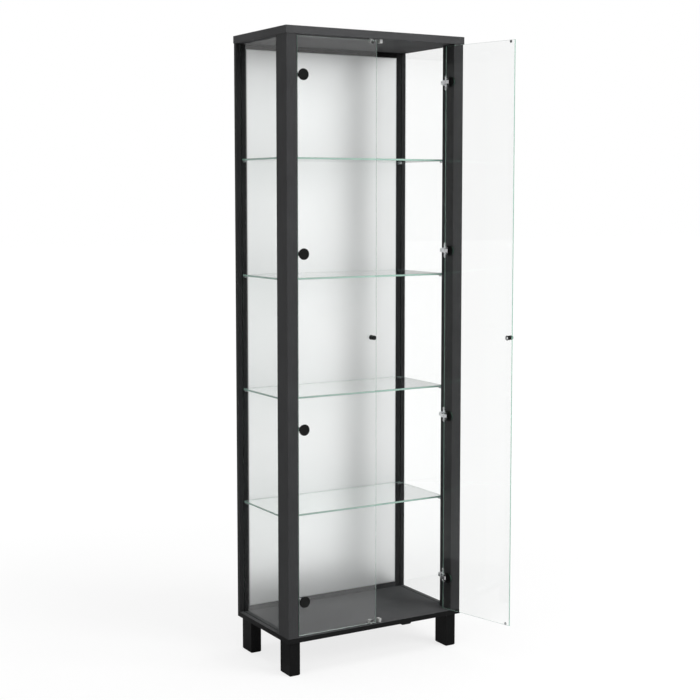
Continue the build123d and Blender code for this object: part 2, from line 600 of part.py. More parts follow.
# Hinge cup: a shallow can through the glass, clamped by a flange, with two lugs that hold the pin
with BuildPart() as one_cup:
    cup_depth = DOOR_GLASS + CUP_FLANGE
    rod(CUP_RADIUS, (CUP_X, DOOR_FRONT, 0), BACKWARD, cup_depth, sides=ROUND_SIDES)
    rod(CUP_FLANGE_RADIUS, (CUP_X, DOOR_BACK, 0), BACKWARD, CUP_FLANGE, sides=ROUND_SIDES)
    floor = (CUP_X, DOOR_FRONT + CUP_FLOOR, 0)
    rod(CUP_RADIUS - CUP_WALL, floor, BACKWARD, cup_depth, Mode.SUBTRACT, ROUND_SIDES)
    slab(
        (CUP_X - CUP_FLANGE_RADIUS, PIN_X),
        (DOOR_BACK, DOOR_BACK + CUP_FLANGE),
        (-LUG_INNER, LUG_INNER),
        Mode.SUBTRACT,
    )
    for start in (LUG_INNER, -LUG_INNER - LUG_THICKNESS):
        slab(
            (PIN_X - LUG_RADIUS, PIN_X + LUG_RADIUS),
            (DOOR_FRONT + CUP_FLOOR, PIN_Y),
            (start, start + LUG_THICKNESS),
        )
        rod(LUG_RADIUS, (PIN_X, PIN_Y, start), UPWARD, LUG_THICKNESS)
        rod(LUG_HOLE_RADIUS, (PIN_X, PIN_Y, start), UPWARD, LUG_THICKNESS, Mode.SUBTRACT)

# Round cap over the cup on the outside of the door
with BuildPart() as one_cap:
    rod(CAP_RADIUS, (CUP_X, DOOR_FRONT, 0), FORWARD, CAP_THICKNESS, sides=ROUND_SIDES)
    chamfer(one_cap.faces().sort_by(Axis.Y)[0].edges(), CAP_BEVEL)

with BuildPart() as one_pin:
    with BuildSketch(Plane.XY.offset(-PIN_LENGTH / 2)):
        with Locations((PIN_X, PIN_Y)):
            Circle(PIN_RADIUS)
    extrude(amount=PIN_LENGTH)

with BuildPart() as one_plate_screw_pair:
    for side in (-1, 1):
        seat = (LEFT_INNER + PLATE_THICKNESS, FRONT + WING_DEPTH, side * PLATE_SCREW_SPACING / 2)
        rod(SCREW_HEAD_RADIUS, seat, INWARD, SCREW_HEAD_HEIGHT, sides=HEAD_SIDES)
        rod(PLATE_SCREW_RADIUS, seat, OUTWARD, PLATE_THICKNESS + PLATE_SCREW_LENGTH)

# Two adjusting screws through the arm, which bear on the plate
with BuildPart() as one_arm_screw_pair:
    for depth in ARM_SCREW_DEPTHS:
        start = (LEFT_INNER + PLATE_THICKNESS, FRONT + depth, 0)
        length = ARM_TOP - PLATE_THICKNESS + ARM_SCREW_PROUD
        rod(ARM_SCREW_RADIUS, start, INWARD, length, sides=HEAD_SIDES)


def at_every_hinge(piece):
    """The same hinge piece at each hinge height, as one group of separate solids."""
    with BuildPart() as group:
        with Locations([(0, 0, height) for height in HINGE_HEIGHTS]):
            add(piece)
    return group.part


save_pair("hinge_plates", at_every_hinge(one_plate.part))
save_pair("hinge_arms", at_every_hinge(one_arm.part))
save_pair("hinge_plate_screws", at_every_hinge(one_plate_screw_pair.part))
save_pair("hinge_arm_screws", at_every_hinge(one_arm_screw_pair.part))
save_door_pair("hinge_cups", at_every_hinge(one_cup.part))
save_door_pair("hinge_caps", at_every_hinge(one_cap.part))
save_door_pair("hinge_pins", at_every_hinge(one_pin.part))

# Knob, a straight button on a short neck, with its screw from the inside and a washer
with BuildPart() as knob:
    button = (KNOB_X, DOOR_FRONT - KNOB_NECK_LENGTH, KNOB_HEIGHT)
    rod(KNOB_RADIUS, button, FORWARD, KNOB_LENGTH - KNOB_NECK_LENGTH, sides=ROUND_SIDES)
    chamfer(knob.faces().group_by(Axis.Y)[0].edges(), KNOB_ROUND)
    chamfer(knob.faces().group_by(Axis.Y)[-1].edges(), KNOB_ROUND)
    neck = (KNOB_X, DOOR_FRONT, KNOB_HEIGHT)
    rod(KNOB_NECK_RADIUS, neck, FORWARD, KNOB_NECK_LENGTH, sides=ROUND_SIDES)
    rod(KNOB_SCREW_RADIUS, neck, FORWARD, KNOB_SCREW_BITE, Mode.SUBTRACT)
save_door_pair("knob", knob.part)

with BuildPart() as knob_washer:
    seat = (KNOB_X, DOOR_BACK, KNOB_HEIGHT)
    rod(WASHER_RADIUS, seat, BACKWARD, WASHER_THICKNESS, sides=ROUND_SIDES)
    rod(KNOB_SCREW_RADIUS, seat, BACKWARD, WASHER_THICKNESS, Mode.SUBTRACT)
save_door_pair("knob_washer", knob_washer.part)

with BuildPart() as knob_screw:
    seat = (KNOB_X, DOOR_BACK + WASHER_THICKNESS, KNOB_HEIGHT)
    rod(KNOB_HEAD_RADIUS, seat, BACKWARD, KNOB_HEAD_HEIGHT, sides=ROUND_SIDES)
    chamfer(knob_screw.faces().sort_by(Axis.Y)[-1].edges(), KNOB_ROUND)
    rod(KNOB_SCREW_RADIUS, seat, FORWARD, WASHER_THICKNESS + DOOR_GLASS + KNOB_SCREW_BITE)
save_door_pair("knob_screw", knob_screw.part)

# Steel strikes on the inside of each door, at the free corners
STRIKE_X = DOOR_FREE_EDGE - STRIKE_TO_EDGE
with BuildPart() as strikes:
    for z in (DOOR_BOTTOM + STRIKE_TO_END, DOOR_TOP - STRIKE_TO_END):
        start = (STRIKE_X, DOOR_BACK, z)
        rod(STRIKE_RADIUS, start, BACKWARD, STRIKE_THICKNESS, sides=HEAD_SIDES)
save_door_pair("door_strikes", strikes.part)

# Magnetic catches on the two panels, one for each strike
CATCH_FACE = DOOR_BACK + STRIKE_THICKNESS + CATCH_GAP
CATCH_SEATS = (
    ("bottom", BASE_TOP, BASE_TOP + CATCH_HEIGHT),
    ("top", TOP_UNDERSIDE - CATCH_HEIGHT, TOP_UNDERSIDE),
)
for name, low, high in CATCH_SEATS:
    with BuildPart() as catches:
        for side in (-1, 1):
            x = side * STRIKE_X
            slab(
                (x - CATCH_WIDTH / 2, x + CATCH_WIDTH / 2),
                (CATCH_FACE, CATCH_FACE + CATCH_DEPTH),
                (low, high),
            )
        chamfer(catches.edges().filter_by(Axis.Z), CATCH_ROUND)
        for side in (-1, 1):
            x = side * STRIKE_X
            middle = (low + high) / 2
            slab(
                (x - MAGNET_WIDTH / 2, x + MAGNET_WIDTH / 2),
                (CATCH_FACE, CATCH_FACE + MAGNET_DEPTH),
                (middle - MAGNET_WIDTH / 2, middle + MAGNET_WIDTH / 2),
                Mode.SUBTRACT,
            )
    save(f"door_catches_{name}", catches.part)

with BuildPart() as catch_magnets:
    for name, low, high in CATCH_SEATS:
        middle = (low + high) / 2
        for side in (-1, 1):
            x = side * STRIKE_X
            slab(
                (x - MAGNET_WIDTH / 2, x + MAGNET_WIDTH / 2),
                (CATCH_FACE, CATCH_FACE + MAGNET_DEPTH),
                (middle - MAGNET_WIDTH / 2, middle + MAGNET_WIDTH / 2),
            )
save("catch_magnets", catch_magnets.part)
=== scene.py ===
import math

import bmesh
import bpy
from mathutils import Matrix, Vector


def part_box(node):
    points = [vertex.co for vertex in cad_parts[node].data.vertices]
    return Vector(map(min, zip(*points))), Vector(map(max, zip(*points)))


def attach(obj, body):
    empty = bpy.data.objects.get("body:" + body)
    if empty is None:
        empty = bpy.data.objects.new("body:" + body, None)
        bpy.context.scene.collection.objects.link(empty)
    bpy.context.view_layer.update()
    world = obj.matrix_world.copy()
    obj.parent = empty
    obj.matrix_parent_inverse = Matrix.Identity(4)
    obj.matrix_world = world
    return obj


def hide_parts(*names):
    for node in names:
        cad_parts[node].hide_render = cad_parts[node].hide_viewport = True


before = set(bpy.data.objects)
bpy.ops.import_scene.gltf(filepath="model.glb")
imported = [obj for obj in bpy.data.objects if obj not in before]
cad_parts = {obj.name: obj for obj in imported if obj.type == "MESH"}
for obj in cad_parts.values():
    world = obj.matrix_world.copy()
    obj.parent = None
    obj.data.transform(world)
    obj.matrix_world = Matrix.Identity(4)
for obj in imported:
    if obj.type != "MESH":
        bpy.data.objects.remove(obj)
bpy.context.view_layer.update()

# Lengths of the meshes are millimetres from the floor under the carcass's middle, as in the
# solids, and are then shifted to the frame's origin. Pieces are set out on the left side.
MM = 0.001
SHIFT = Vector((-14.0, 104.5, 0.0))
SIDES = ("left", "right")
X, Y, Z = Vector((1, 0, 0)), Vector((0, 1, 0)), Vector((0, 0, 1))
FINE_WIDTH = 1e-6

# Places of the posts, the doors and the hinges
POST_FACE = -244.0
FRONT = -150.0
GLASS_FRONT = -147.5
GLASS_BACK = -143.5
PIN = Vector((-230.0, -140.5, 0.0))
CUP_X = -224.0
HINGE_HEIGHTS = (198.0, 658.0, 1118.0, 1578.0)
OPEN_TURN = Matrix.Rotation(math.radians(104.0), 3, "Z")
KNOB_X, KNOB_Z = -17.5, 891.0
STRIKES = ((-14.5, 113.5), (-14.5, 1670.5))

# Turned forms: radius and height along the axis
CAP_PROFILE = (
    (0, 0), (14.7, 0), (15, 0.3), (15, 1.2), (14.7, 1.75), (14.0, 2.15), (12.4, 2.38),
    (8.0, 2.48), (0, 2.5),
)
CUP_PROFILE = (
    (0, 0.1), (12.5, 0.1), (12.7, 0.3), (12.7, 4.0), (13.7, 4.0), (14.0, 4.3), (14.0, 4.8),
    (13.7, 5.15), (11.1, 5.2), (10.6, 4.9), (10.5, 1.9), (10.1, 1.5), (0, 1.5),
)
KNOB_PROFILE = (
    (0, 0), (4.5, 0), (4.5, 2.6), (4.8, 3.0), (5.3, 3.05), (5.8, 3.4), (6.0, 4.0), (6.0, 13.8),
    (5.85, 14.4), (5.5, 14.8), (5.0, 14.95), (4.2, 15.0), (0, 15.0),
)
WASHER_THICK = 1.5
WASHER_PROFILE = (
    (2.0, 0), (6.3, 0), (6.5, 0.25), (6.5, 1.2), (6.2, WASHER_THICK), (2.0, WASHER_THICK),
)
STRIKE_PROFILE = ((0, 0), (4.0, 0), (4.0, 0.7), (3.7, 1.0), (0, 1.0))
DISC_PROFILE = ((0, -2.0), (4.9, -2.0), (4.9, -0.25), (4.65, 0.0), (0, 0.0))
CUP_STEPS, KNOB_STEPS, WASHER_STEPS, SMALL_STEPS = 64, 56, 48, 40

# Lugs that hold the pin in a cup: their lower faces, thickness, half width, root and middle
LUG_STARTS = (5.4, -8.3)
LUG_THICK = 2.9
LUG_HALF = 3.0
LUG_ROOT, LUG_MIDDLE = 1.2, 7.0

# Hinge plate: depth from the posts' front and height from the hinge's middle
PLATE_THICK = 2.2
WING_DEPTH, WING_HEIGHT, WING_RADIUS = 36.0, 16.4, 5.5
PLATE_REAR = (
    (30.5, 8.4), (28.6, 6.5), (26.2, 6.5), (25.0, 5.3), (25.0, -5.3), (26.2, -6.5),
    (28.6, -6.5), (30.5, -8.4),
)
PLATE_FRONT = (
    (41.5, -8.4), (43.4, -6.5), (52.8, -6.5), (54.0, -5.3), (54.0, 5.3), (52.8, 6.5),
    (43.4, 6.5), (41.5, 8.4),
)
PLATE_SCREW_HEIGHT = 16.0

# Hinge arm: reach from the post's inner face and depth from its front, round the barrel first
ARM_HALF = 5.0
ARM_FACE = 8.2
BARREL, BARREL_RADIUS, BARREL_ARC = (14.0, 9.5), 2.6, (215, 370)
ARM_BOW = (
    (17.5, 15.0), (18.6, 20.0), (19.0, 24.0), (18.4, 27.4), (16.6, 30.0), (13.4, 31.9),
    (9.6, 33.2), (ARM_FACE, 34.4), (ARM_FACE, 52.4), (7.6, 53.0), (2.2, 53.0), (2.2, 25.4),
    (5.6, 24.6), (9.0, 25.2), (12.2, 25.4), (14.2, 24.2), (14.8, 22.0), (14.2, 16.0),
    (12.6, 11.8),
)
ARM_SCREW_DEPTHS = (41.0, 49.5)

# Screws of the back board and cover discs of the top
BOARD_BACK = 145.0
BOARD_SCREW_X = 245.0
BOARD_SCREW_ROWS = 3
RAIL_LOW, RAIL_HIGH = 119.0, 1666.0
TOP = 1700.0
DISC_PLACES = ((259.5, -132.0), (252.5, 143.5), (120.0, 143.5))

# Edges
SMOOTH_BELOW = math.radians(32)
ROUND_ABOVE = math.radians(40)
BOARD_ROUND_ABOVE = math.radians(60)
BOARD_ROUND = 0.6
CUP_ROUND, PLATE_ROUND, ARM_ROUND = 0.15, 0.35, 0.4

# The studio: levels of grey in reflections by compass direction, in degrees from +X, and light
STUDIO = (
    (-180, 0.40), (-125, 1.08), (-61, 1.08), (-46, 0.66), (0, 0.50), (60, 0.55),
    (128, 0.50), (138, 0.15), (160, 0.15), (175, 0.40),
)
WHITE = (1.0, 1.0, 1.0)
FLOOR_LIFT = 0.75
FLOOR_WHITE = 1.03
FLOOR_FADE = (0.9, 2.4)
FLOOR_HALF = 30.0
DIFFUSE_LIGHT = 0.45
LAMPS = (
    ("key_right", (2.2, -3.8, 2.9), (0.0, 0.1, 1.0), (2.6, 2.2), 150.0),
    ("fill_left", (-3.8, -1.6, 2.6), (0.0, 0.1, 0.8), (2.4, 2.0), 12.0),
    ("top_soft", (0.0, -0.4, 4.2), (0.0, 0.1, 0.0), (3.0, 3.0), 75.0),
)

# Colours and grain
EVEN = (1.0, 1.0, 1.0)
CLEAR = (0.985, 0.992, 0.988)
GREEN = (0.30, 0.56, 0.44)
SHELF_CLEAR = (0.95, 0.975, 0.965)
SHELF_GREEN = (0.44, 0.66, 0.57)
GRAIN_STRETCH = 0.06
WORN_REACH = 0.0013
RIM_REACH = 0.004

# Black boards: darkness of the upright faces, specular level, and how many times paler level
# faces are.
# All are the same satin black paint: the darkness set board by board is painted light and shade,
# darkest on the feet, the bottom panel and the top rail, palest on the top panel, the bottom
# rail and the front posts; the paler level faces are painted light and sheen, 13 times on the
# bottom panel, 1.5 on the top.
BOARDS = {
    "top_panel": (0.050, 0.06, 1.5),
    "bottom_panel": (0.006, 0.07, 13.0),
    "rear_rail_top": (0.008, 0.05, 1.0),
    "rear_rail_bottom": (0.05, 0.1, 1.0),
    "foot_front_left": (0.006, 0.05, 1.0),
    "foot_front_right": (0.006, 0.05, 1.0),
    "foot_rear_left": (0.008, 0.05, 1.0),
    "foot_rear_right": (0.008, 0.05, 1.0),
    "left_rear_post": (0.024, 0.05, 1.0),
    "right_rear_post": (0.024, 0.05, 1.0),
    "left_front_post": (0.038, 0.05, 1.0),
    "right_front_post": (0.034, 0.05, 1.0),
}
ALONG_X = ("top_panel", "bottom_panel", "rear_rail_top", "rear_rail_bottom")


# Node materials

class Nodes:
    """A node tree under construction, with short names for the nodes used here."""

    def __init__(self, owner):
        owner.use_nodes = True
        self.tree = owner.node_tree
        self.tree.nodes.clear()

    def put(self, socket, value):
        """Set a socket to a number or a colour, or link it to another socket."""
        if isinstance(value, bpy.types.NodeSocket):
            self.tree.links.new(value, socket)
        elif isinstance(value, tuple) and len(value) == 3 and len(socket.default_value) == 4:
            socket.default_value = (*value, 1.0)
        else:
            socket.default_value = value

    def node(self, kind, inputs=None, **settings):
        """A new node with its settings and inputs."""
        made = self.tree.nodes.new(kind)
        for key, value in settings.items():
            setattr(made, key, value)
        for key, value in (inputs or {}).items():
            self.put(made.inputs[key], value)
        return made

    def math(self, operation, *values):
        """The result of a Math node."""
        inputs = dict(enumerate(values))
        return self.node("ShaderNodeMath", inputs, operation=operation).outputs[0]

    def vector(self, operation, *values):
        """The outputs of a Vector Math node."""
        inputs = dict(enumerate(values))
        return self.node("ShaderNodeVectorMath", inputs, operation=operation).outputs

    def span(self, value, low, high, to_low=0.0, to_high=1.0):
        """A value taken from one range to another, held at the ends."""
        inputs = {0: value, 1: low, 2: high, 3: to_low, 4: to_high}
        return self.node("ShaderNodeMapRange", inputs).outputs[0]

    def reflected(self, path):
        """One in any reflection, and zero for what the camera sees directly or through glass."""
        return self.math("MINIMUM", path["Glossy Depth"], 1.0)

    def undiffused(self, path):
        """One for what is seen, and zero for what lights a surface."""
        return self.math("LESS_THAN", path["Diffuse Depth"], 0.5)

    def studio(self, direction):
        """How bright the studio is, seen in a reflection that leaves in a direction."""
        parts = self.node("ShaderNodeSeparateXYZ", {0: direction}).outputs
        compass = self.math("ARCTAN2", parts[1], parts[0])
        turn = self.span(compass, -math.pi, math.pi)
        ramp = self.node("ShaderNodeValToRGB", {0: turn})
        elements = ramp.color_ramp.elements
        while len(elements) < len(STUDIO):
            elements.new(0.5)
        for element, (degrees, grey) in zip(elements, STUDIO):
            element.position = degrees / 360 + 0.5
            element.color = (grey, grey, grey, 1.0)
        return ramp.outputs[0]


class Paint(Nodes):
    """A material under construction: one Principled shader and the nodes that feed it."""

    def __init__(self, name, **constants):
        self.material = bpy.data.materials.new(name)
        super().__init__(self.material)
        self.output = self.node("ShaderNodeOutputMaterial")
        self.shader = self.node("ShaderNodeBsdfPrincipled")
        self.put(self.output.inputs[0], self.shader.outputs[0])
        coordinates = self.node("ShaderNodeTexCoord").outputs
        self.place, self.normal = coordinates["Object"], coordinates["Normal"]
        for socket, value in constants.items():
            self.feed(socket.replace("_", " "), value)

    def feed(self, socket, value):
        """Set or link one input of the Principled shader."""
        self.put(self.shader.inputs[socket], value)

    def mix_with(self, factor, other):
        """Put a mix of the Principled shader and another shader at the output."""
        inputs = {0: factor, 1: self.shader.outputs[0], 2: other}
        self.put(self.output.inputs[0], self.node("ShaderNodeMixShader", inputs).outputs[0])

    def noise(self, scale, detail=4.0, roughness=0.55, stretch=EVEN):
        """Fractal noise over the object's own coordinates, scaled along each axis."""
        place = self.node("ShaderNodeMapping", {"Vector": self.place, "Scale": stretch})
        inputs = {
            "Vector": place.outputs[0],
            "Scale": scale,
            "Detail": detail,
            "Roughness": roughness,
        }
        return self.node("ShaderNodeTexNoise", inputs).outputs[0]

    def blend(self, factor, first, second):
        """A mix of two colours."""
        inputs = {0: factor, 6: first, 7: second}
        return self.node("ShaderNodeMix", inputs, data_type="RGBA").outputs[2]

    def mottled(self, pattern, low, high, first, second):
        """Give the surface two colours, mixed by a pattern between two of its levels."""
        self.feed("Base Color", self.blend(self.span(pattern, low, high), first, second))

    def facing(self, direction):
        """How squarely a face looks along a direction or against it."""
        return self.math("ABSOLUTE", self.vector("DOT_PRODUCT", self.normal, direction)["Value"])

    def bump(self, height, depth):
        """Surface relief of a depth in metres."""
        inputs = {"Height": height, "Distance": depth, "Strength": 1.0}
        self.feed("Normal", self.node("ShaderNodeBump", inputs).outputs[0])

    def near_edges(self, low, high, reach):
        """One along the outer edges of a block between two corners, and zero away from them."""
        parts = self.node("ShaderNodeSeparateXYZ", {0: self.place}).outputs
        gaps = []
        for axis in range(3):
            below = self.math("SUBTRACT", parts[axis], low[axis])
            above = self.math("SUBTRACT", high[axis], parts[axis])
            gaps.append(self.math("MINIMUM", below, above))
        small = self.math("MINIMUM", gaps[0], gaps[1])
        large = self.math("MAXIMUM", gaps[0], gaps[1])
        second = self.math("MAXIMUM", small, self.math("MINIMUM", large, gaps[2]))
        return self.span(second, 0.0, reach, 1.0, 0.0)


def black_board(name, along, low, high):
    """Satin black paint on board, with faint grain and a soft mottle; its darkness is set board
    by board as painted light and shade, its level faces are painted paler as light and sheen,
    and its edges are paler in patches, as wear and as painted edge highlight.
    """
    shade, specular, flat = BOARDS[name]
    paint = Paint(f"{name}_paint", Specular_IOR_Level=specular)
    stretch = tuple(GRAIN_STRETCH if axis == along else 1.0 for axis in range(3))
    grain = paint.noise(420.0, 6.0, 0.62, stretch)
    mottle = paint.noise(9.0, 3.0, 0.5)
    speck = paint.noise(900.0, 2.0, 0.5)
    level = paint.span(paint.facing(tuple(Z)), 0.7, 0.9)
    grain_and_painted_light = paint.span(paint.math("ADD", grain, mottle), 0.6, 1.4, 0.78, 1.22)
    # Level faces painted paler by the board's last number in BOARDS: painted light and sheen.
    grain_and_painted_light = paint.math("MULTIPLY", grain_and_painted_light, paint.span(level, 0.0, 1.0, 1.0, flat))
    dark = tuple(shade * tint for tint in (0.98, 0.99, 1.02))
    base = paint.node(
        "ShaderNodeVectorMath", {0: dark, "Scale": grain_and_painted_light}, operation="SCALE"
    ).outputs[0]
    # Paler patches along the edges: wear, and painted edge highlight as well.
    edge = paint.near_edges(low, high, WORN_REACH)
    patches = paint.span(paint.noise(40.0), 0.45, 0.75, 0.0, 0.4)
    wear_and_highlight_mask = paint.math("MULTIPLY", edge, patches)
    wear_and_painted_highlight = (shade * 2.0 + 0.015,) * 3
    paint.feed("Base Color", paint.blend(wear_and_highlight_mask, base, wear_and_painted_highlight))
    rough = paint.span(paint.math("ADD", grain, speck), 0.6, 1.4, 0.31, 0.45)
    rough = paint.math("ADD", rough, paint.math("MULTIPLY", level, 0.22))
    rough = paint.math("SUBTRACT", rough, paint.math("MULTIPLY", wear_and_highlight_mask, 0.12))
    paint.feed("Roughness", rough)
    paint.bump(paint.math("ADD", grain, paint.math("MULTIPLY", speck, 0.5)), 0.00005)
    return paint.material


def clear_glass(name, broad, tint, edge_tint):
    """Polished glass: nearly clear through its broad faces, green along its edges."""
    paint = Paint(name, IOR=1.45)
    on_edge = paint.span(paint.facing(tuple(broad)), 0.55, 0.8, 1.0, 0.0)
    paint.feed("Transmission Weight", paint.span(on_edge, 0.0, 1.0, 1.0, 0.35))
    haze = paint.span(paint.noise(6.0, 5.0, 0.6), 0.3, 0.7)
    hazy = tuple(0.99 * channel for channel in tint)
    paint.feed("Base Color", paint.blend(on_edge, paint.blend(haze, tint, hazy), edge_tint))
    smear = paint.span(paint.noise(14.0, 6.0, 0.65), 0.45, 0.75, 0.0, 0.02)
    paint.feed("Roughness", paint.math("ADD", smear, paint.math("MULTIPLY", on_edge, 0.06)))
    path = paint.node("ShaderNodeLightPath").outputs
    clear = paint.node("ShaderNodeBsdfTransparent", {0: tint}).outputs[0]
    paint.mix_with(path["Is Shadow Ray"], clear)
    return paint.material


def plated(name, colour, rough, scale, stretch=EVEN):
    """Bright plated metal with fine polishing lines and light handling marks."""
    paint = Paint(name, Metallic=1.0)
    lines = paint.noise(scale, 5.0, 0.7, stretch)
    marks = paint.noise(260.0, 4.0, 0.6)
    dull = tuple(0.82 * channel for channel in colour)
    paint.mottled(marks, 0.4, 0.8, colour, dull)
    paint.feed("Roughness", paint.span(lines, 0.3, 0.7, rough * 0.7, rough * 1.4))
    paint.bump(lines, 0.00002)
    return paint.material


def moulded(name, colour, rough, grain=1400.0, depth=0.00004, specular=0.45):
    """Moulded plastic or rubber with a fine spark-eroded texture."""
    paint = Paint(name, Specular_IOR_Level=specular)
    fine = paint.noise(grain, 3.0, 0.6)
    light = tuple(1.3 * channel + 0.002 for channel in colour)
    paint.mottled(paint.noise(70.0, 4.0, 0.5), 0.35, 0.7, colour, light)
    paint.feed("Roughness", paint.span(fine, 0.3, 0.7, rough - 0.06, rough + 0.08))
    paint.bump(fine, depth)
    return paint.material


def silvered():
    """The mirror: silvered glass with a soft bloom and a slightly dark rim."""
    paint = Paint("mirror_silver", Metallic=0.8)
    cloud = paint.span(paint.noise(2.2, 4.0, 0.5), 0.3, 0.7)
    low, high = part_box("mirror")
    rim = paint.math("MULTIPLY", paint.near_edges(low, high, RIM_REACH), 0.5)
    face = paint.blend(cloud, (0.965, 0.97, 0.97), (0.935, 0.95, 0.95))
    paint.feed("Base Color", paint.blend(rim, face, (0.35, 0.37, 0.37)))
    paint.feed("Roughness", paint.span(paint.noise(5.0, 5.0, 0.6), 0.3, 0.7, 0.30, 0.35))
    return paint.material


def hardboard():
    """Black faced hardboard for the back, with a pressed fibre texture."""
    paint = Paint("back_board_face", Specular_IOR_Level=0.25)
    fibre = paint.noise(600.0, 6.0, 0.7)
    cross = paint.noise(160.0, 5.0, 0.6, (1.0, 1.0, 0.4))
    mixed = paint.math("ADD", fibre, cross)
    paint.mottled(mixed, 0.7, 1.3, (0.012, 0.012, 0.012), (0.035, 0.034, 0.033))
    paint.feed("Roughness", paint.span(mixed, 0.7, 1.3, 0.55, 0.8))
    paint.bump(mixed, 0.0001)
    return paint.material


def beech():
    """Pale wood for the dowels."""
    paint = Paint("dowel_beech", Specular_IOR_Level=0.3)
    rings = paint.noise(900.0, 5.0, 0.6, (1.0, 1.0, 0.1))
    paint.feed("Base Color", paint.blend(rings, (0.52, 0.34, 0.19), (0.33, 0.2, 0.1)))
    paint.feed("Roughness", paint.span(rings, 0.3, 0.7, 0.5, 0.7))
    paint.bump(rings, 0.00005)
    return paint.material


def clear_plastic():
    """The shelf pegs: clear moulded plastic."""
    paint = Paint("peg_clear", Transmission_Weight=0.75, IOR=1.46)
    cloud = paint.noise(300.0, 3.0, 0.5)
    paint.feed("Base Color", paint.blend(cloud, (0.86, 0.89, 0.9), (0.72, 0.76, 0.78)))
    paint.feed("Roughness", paint.span(cloud, 0.3, 0.7, 0.12, 0.24))
    return paint.material


# Meshes in millimetres, built on the left side and mirrored for the right

def lathe(bm, profile, start, axis, steps):
    """A turned form from its profile along an axis, closed at both ends."""
    across = axis.orthogonal().normalized()
    beside = axis.cross(across)
    rings = []
    for radius, height in profile:
        middle = start + axis * height
        if radius < FINE_WIDTH:
            rings.append([bm.verts.new(middle)])
            continue
        ring = []
        for step in range(steps):
            turn = 2 * math.pi * step / steps
            arm = across * math.cos(turn) + beside * math.sin(turn)
            ring.append(bm.verts.new(middle + arm * radius))
        rings.append(ring)
    pairs = list(zip(rings, rings[1:]))
    if len(rings[0]) > 1:
        pairs.append((rings[-1], rings[0]))
    for lower, upper in pairs:
        for step in range(steps):
            after = (step + 1) % steps
            corners = [lower[step % len(lower)], lower[after % len(lower)]]
            corners += [upper[after % len(upper)], upper[step % len(upper)]]
            bm.faces.new(list(dict.fromkeys(corners)))


def closed(bm, lower, upper):
    """The faces between two rings of corners, and over both of them."""
    bm.faces.new(list(reversed(lower)))
    bm.faces.new(upper)
    for step in range(len(lower)):
        after = (step + 1) % len(lower)
        bm.faces.new((lower[step], lower[after], upper[after], upper[step]))


def prism(bm, outline, low, high, axes):
    """A flat outline carried from one height to another, in a frame of three axes."""
    first, second, upward = axes
    rings = [
        [bm.verts.new(first * a + second * b + upward * height) for a, b in outline]
        for height in (low, high)
    ]
    closed(bm, *rings)


def arc(centre, radius, start, end, steps):
    """Points along an arc, with its angles in degrees."""
    points = []
    for step in range(steps + 1):
        turn = math.radians(start + (end - start) * step / steps)
        points.append((centre[0] + radius * math.cos(turn), centre[1] + radius * math.sin(turn)))
    return points


def shown(name, bm):
    """The object of a mesh under construction, linked to the scene."""
    mesh = bpy.data.meshes.new(name)
    bm.to_mesh(mesh)
    bm.free()
    made = bpy.data.objects.new(name, mesh)
    bpy.context.scene.collection.objects.link(made)
    return made


def round_edges(made, width, sharpest):
    """Round the edges of an object that turn by more than an angle."""
    modifier = made.modifiers.new("edge_round", "BEVEL")
    modifier.width = width * MM
    modifier.segments = 2
    modifier.limit_method = "ANGLE"
    modifier.angle_limit = sharpest


def add_piece(name, bm, material, body, nodes, side="left", door=False, bevel=0.0):
    """Make a piece of one side, let it ride on its body, and let it stand for its CAD nodes."""
    if side == "right":
        bmesh.ops.scale(bm, vec=(-1, 1, 1), verts=bm.verts)
        if door:
            hinge = Vector((-PIN.x, PIN.y, 0))
            bmesh.ops.rotate(bm, cent=hinge, matrix=OPEN_TURN, verts=bm.verts)
    bmesh.ops.translate(bm, vec=SHIFT, verts=bm.verts)
    bmesh.ops.scale(bm, vec=(MM, MM, MM), verts=bm.verts)
    bmesh.ops.recalc_face_normals(bm, faces=bm.faces)
    for face in bm.faces:
        face.smooth = True
    for edge in bm.edges:
        if len(edge.link_faces) == 2 and edge.calc_face_angle(0.0) > SMOOTH_BELOW:
            edge.smooth = False
    piece = shown(name, bm)
    piece.data.materials.append(material)
    if bevel:
        round_edges(piece, bevel, ROUND_ABOVE)
    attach(piece, body)
    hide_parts(*nodes)


def cross_head(name, radius, height, shank, length, reach, half, deep):
    """The mesh of a screw with a cross recess, head up along Z, seated at zero."""
    bm = bmesh.new()
    profile = [
        (0, -length),
        (shank * 0.6, -length),
        (shank, -length + shank),
        (shank, 0),
        (radius, 0),
        (radius, height * 0.35),
        (radius * 0.93, height * 0.68),
        (radius * 0.76, height * 0.88),
        (radius * 0.5, height * 0.98),
        (0, height),
    ]
    lathe(bm, profile, Vector((0, 0, 0)), Z, SMALL_STEPS)
    head = shown(name, bm)
    bm = bmesh.new()
    outline = [
        (half, half), (half, reach), (-half, reach), (-half, half), (-reach, half),
        (-reach, -half), (-half, -half), (-half, -reach), (half, -reach), (half, -half),
        (reach, -half), (reach, half),
    ]
    above, taper = 0.5, 0.55
    top = [bm.verts.new((a, b, height + above)) for a, b in outline]
    low = [bm.verts.new((a * taper, b * taper, height - deep)) for a, b in outline]
    closed(bm, low, top)
    bmesh.ops.recalc_face_normals(bm, faces=bm.faces)
    cutter = shown(name + "_cut", bm)
    modifier = head.modifiers.new("recess", "BOOLEAN")
    modifier.operation = "DIFFERENCE"
    modifier.solver = "EXACT"
    modifier.object = cutter
    depsgraph = bpy.context.evaluated_depsgraph_get()
    result = bpy.data.meshes.new_from_object(head.evaluated_get(depsgraph))
    bpy.data.objects.remove(head)
    bpy.data.objects.remove(cutter)
    return result


def add_screw(bm, screw, point, direction, turn):
    """Add a screw to a mesh, seated at a point, its head along a direction and turned."""
    rotation = direction.to_track_quat("Z", "Y").to_matrix().to_4x4()
    spin = Matrix.Rotation(math.radians(turn), 4, "Z")
    before = len(bm.verts)
    bm.from_mesh(screw)
    bm.verts.ensure_lookup_table()
    placed = Matrix.Translation(point) @ rotation @ spin
    bmesh.ops.transform(bm, matrix=placed, verts=bm.verts[before:])


